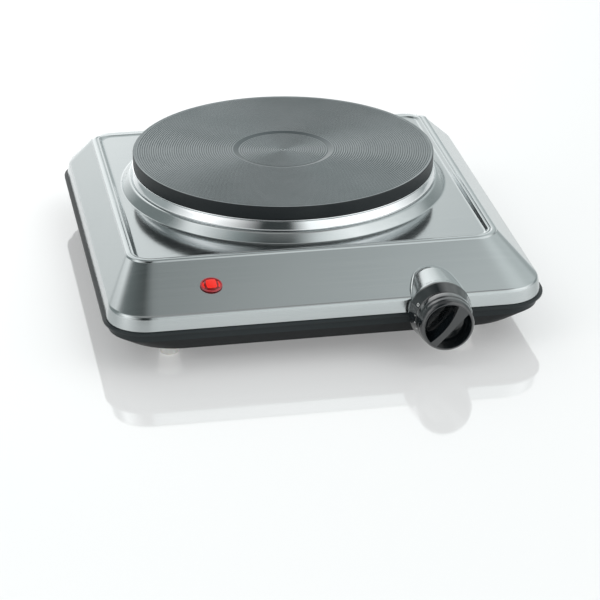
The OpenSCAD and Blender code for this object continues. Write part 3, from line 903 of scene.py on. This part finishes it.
def make_knob_marks():
    """Plain setting marks on the collar: a ring for off, and bars that grow in steps."""
    marks = Shape()

    def patch(a0, a1, d0, d1):
        """A thin raised patch on the collar's cone, between two angles and two depths."""
        def point(a, d, lift):
            t = (d - COLLAR_BACK - 3.2) / (GRIP_BACK - 0.5 - COLLAR_BACK - 3.2)
            r = COLLAR_R - 0.5 - 1.6 * t + lift
            return KNOB_AXIS @ Vector((r * math.cos(a), r * math.sin(a), d))
        steps = 4
        loops = []
        for k in range(steps + 1):
            a = a0 + (a1 - a0) * k / steps
            loops.append([point(a, d0, -0.1), point(a, d1, -0.1), point(a, d1, 0.06),
                          point(a, d0, 0.06)])
        marks.loft(loops)

    low = GRIP_BACK - 3.4
    off = math.radians(150)
    for a0, a1, d0, d1 in ((-0.05, -0.025, 0.25, 1.75), (0.025, 0.05, 0.25, 1.75),
                           (-0.05, 0.05, 0.0, 0.35), (-0.05, 0.05, 1.65, 2.0)):
        patch(off + a0, off + a1, low + d0, low + d1)
    for k in range(5):
        a = math.radians(172 + 15 * k)
        patch(a - 0.02, a + 0.02, low + 1.6 - 0.45 * k, low + 2.2)
    made = marks.piece("knob_marks", "knob", 40)
    made.data.materials.append(print_white())


# ---- Indicator ----

def make_indicator():
    """Red lens: a round flange under a raised block with a flat, bright top."""
    count = 96
    half_x, half_y, corner = 2.9, 3.7, 5

    def cushion(t, z, grow=1.0):
        """A loop between the round flange, t = 0, and the block's outline, t = 1."""
        loop = []
        for k in range(count):
            a = TAU * k / count
            c, s = math.cos(a), math.sin(a)
            block = ((abs(c) / half_x) ** corner + (abs(s) / half_y) ** corner) ** (-1 / corner)
            r = (LAMP_R - 1.2) * (1 - t) + block * t * grow
            loop.append(LAMP_AXIS @ Vector((r * c, r * s, z)))
        return loop

    flange = Shape().lathe(profile(
        (3.9, -9, 0), (4.9, -9, 0), (4.9, 0.02, 0), (LAMP_R - 0.1, 0.02, 0.1),
        (LAMP_R, 0.45, 0.2), (LAMP_R - 0.45, 1.0, 0.3), (LAMP_R - 1.1, 0.8, 0.2),
        (LAMP_R - 1.2, 0.3, 0), (3.9, 0.25, 0)), LAMP_AXIS, segments=96, closed=True)
    bezel = flange.piece("lens_rim", "housing", 40)
    bezel.data.materials.append(red_plastic("lens_rim_red", (0.5, 0.05, 0.06), 0.14, 0.0))
    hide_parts("indicator_lens")
    window = Shape().loft([cushion(0, 0.3), cushion(0, 0.5), cushion(0.45, 0.75),
                           cushion(0.92, 1.1), cushion(0.98, 1.28), cushion(1, 1.35, 0.93)])
    window = window.piece("lens_window", "housing", 25)
    window.data.materials.append(red_plastic("lens_side_red", (0.24, 0.004, 0.006), 0.2, 0.02))
    window.data.materials.append(red_plastic("lens_face_red", (0.8, 0.015, 0.008), 0.3, 0.32))
    flat = (LAMP_AXIS.to_3x3() @ Vector((0, 0, 1))).normalized()
    for face in window.data.polygons:
        if face.normal.dot(flat) > 0.95:
            face.material_index = 1


# ---- Cord gland ----

def make_gland():
    gland = Shape().lathe(profile(
        (3.6, 90, 0), (6.5, 90, 0.3), (6.5, 101.2, 0), (8.2, 101.2, 0.3), (8.2, 103.6, 0.5),
        (7.2, 104.2, 0.3), (6.6, 106.2, 0.3), (6.9, 106.6, 0.2), (6.3, 108.4, 0.3),
        (6.5, 108.8, 0.2), (6.0, GLAND_BACK, 0.4), (4.2, GLAND_BACK, 0.4),
        (3.6, GLAND_BACK - 0.8, 0)), GLAND_AXIS, segments=72, closed=True)
    gland = gland.piece("moulded_gland", "housing", 50)
    paint = Paint("gland_rubber", (0.022, 0.023, 0.024), 0.5)
    paint.vary_color(paint.noise(400, 4), (0.035, 0.036, 0.037))
    paint.vary_rough(paint.noise(900, 3), 0.08)
    paint.bump(paint.noise(1800, 3), 0.02, 0.4)
    gland.data.materials.append(paint.material)
    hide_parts("cord_gland")


make_plate()
make_spill_ring()
make_housing()
make_base()
make_feet()
make_knob()
make_indicator()
make_gland()


# ---- Floor and light ----

def joined(tree, operation, first, second=None, third=None):
    """A math node whose inputs are sockets or numbers."""
    node = tree.nodes.new("ShaderNodeMath")
    node.operation = operation
    for i, value in enumerate((first, second, third)):
        if value is None:
            continue
        if isinstance(value, (int, float)):
            node.inputs[i].default_value = value
        else:
            tree.links.new(value, node.inputs[i])
    return node.outputs["Value"]


def smooth_range(tree, value, start, end):
    """Rises smoothly from 0 to 1 between start and end."""
    node = tree.nodes.new("ShaderNodeMapRange")
    node.interpolation_type = "SMOOTHSTEP"
    node.inputs["From Min"].default_value = start
    node.inputs["From Max"].default_value = end
    tree.links.new(value, node.inputs["Value"])
    return node.outputs["Result"]


FLOOR_HALF = 6.0
FLOOR_DROP = 0.0002  # keeps the floor just clear of the feet


def make_floor():
    """A plain pale floor with an even polish."""
    half = FLOOR_HALF
    mesh = bpy.data.meshes.new("floor")
    mesh.from_pydata([(-half, -half, 0), (half, -half, 0), (half, half, 0), (-half, half, 0)],
                     [], [(0, 1, 2, 3)])
    floor = bpy.data.objects.new("floor", mesh)
    floor.location.z = -FLOOR_DROP
    scene.collection.objects.link(floor)
    material = bpy.data.materials.new("pale_floor")
    material.use_nodes = True
    shader = material.node_tree.nodes["Principled BSDF"]
    shader.inputs["Base Color"].default_value = (0.8, 0.8, 0.8, 1)
    shader.inputs["Roughness"].default_value = 0.06
    shader.inputs["IOR"].default_value = 2.3
    shader.inputs["Emission Color"].default_value = (1, 1, 1, 1)
    shader.inputs["Emission Strength"].default_value = 0.24
    mesh.materials.append(material)


# The studio: broad soft areas of light at three heights, as (degrees from the front towards
# the right, light). A soft box stands on each side of the front with a dark gap between
# them, and a softer light is at the back.
LOW_BAND = ((-180, 2.0), (-140, 0.4), (-105, 0.4), (-70, 1.5), (-25, 0.05), (-5, 0.05),
            (10, 1.2), (70, 1.5), (115, 0.4), (160, 0.8), (180, 2.0))
MIDDLE_BAND = ((-180, 1.1), (-160, 1.8), (-140, 0.35), (-110, 0.35), (-80, 2.0), (-25, 0.05),
               (-5, 0.05), (10, 1.2), (70, 1.8), (120, 0.8), (180, 1.1))
HIGH_BAND = ((-180, 0.1), (-135, 0.4), (-100, 1.7), (-60, 0.5), (-30, 0.1), (0, 0.1),
             (25, 1.2), (60, 1.8), (100, 1.0), (145, 1.1), (180, 0.1))
OVERHEAD = 0.48
BRIGHTEST = 2.4


def light_band(tree, turn, stops):
    """The light round one band, by direction as 0..1 from the back round to the back."""
    ramp = tree.nodes.new("ShaderNodeValToRGB")
    tree.links.new(turn, ramp.inputs["Fac"])
    elements = ramp.color_ramp.elements
    for i, (degrees, light) in enumerate(stops):
        spot = degrees / 360 + 0.5
        entry = elements[i] if i < 1 else elements.new(spot) if i < len(stops) - 1 else elements[-1]
        entry.position = spot
        level = light / BRIGHTEST
        warmth = 0.86 + 0.14 * min(light / 1.6, 1)  # dim parts of the studio are cooler
        entry.color = (level * warmth, level, level, 1)
    return ramp.outputs["Color"]


def make_lights():
    """Light by direction in the world. The camera itself sees a plain white backdrop."""
    world = bpy.data.worlds.new("studio")
    scene.world = world
    world.use_nodes = True
    tree = world.node_tree
    axes = tree.nodes.new("ShaderNodeSeparateXYZ")
    where = tree.nodes.new("ShaderNodeTexCoord")
    tree.links.new(where.outputs["Generated"], axes.inputs["Vector"])
    x, y, z = (axes.outputs[name] for name in "XYZ")
    turn = joined(tree, "ARCTAN2", x, joined(tree, "MULTIPLY", y, -1.0))
    turn = joined(tree, "MULTIPLY_ADD", turn, 1 / TAU, 0.5)
    light = light_band(tree, turn, LOW_BAND)
    for stops, start, end in ((MIDDLE_BAND, 18, 30), (HIGH_BAND, 40, 50), (None, 60, 74)):
        blend = tree.nodes.new("ShaderNodeMix")
        blend.data_type = "RGBA"
        rise = smooth_range(tree, z, math.sin(math.radians(start)), math.sin(math.radians(end)))
        tree.links.new(rise, blend.inputs["Factor"])
        tree.links.new(light, blend.inputs["A"])
        if stops:
            tree.links.new(light_band(tree, turn, stops), blend.inputs["B"])
        else:
            level = OVERHEAD / BRIGHTEST
            blend.inputs["B"].default_value = (level, level, level, 1)
        light = blend.outputs["Result"]
    rays = tree.nodes.new("ShaderNodeLightPath")
    seen = tree.nodes.new("ShaderNodeMix")
    seen.data_type = "RGBA"
    tree.links.new(rays.outputs["Is Camera Ray"], seen.inputs["Factor"])
    tree.links.new(light, seen.inputs["A"])
    seen.inputs["B"].default_value = (1, 1, 1, 1)
    background = tree.nodes["Background"]
    tree.links.new(seen.outputs["Result"], background.inputs["Color"])
    background.inputs["Strength"].default_value = BRIGHTEST


make_floor()
make_lights()
scene.view_settings.view_transform = "Standard"
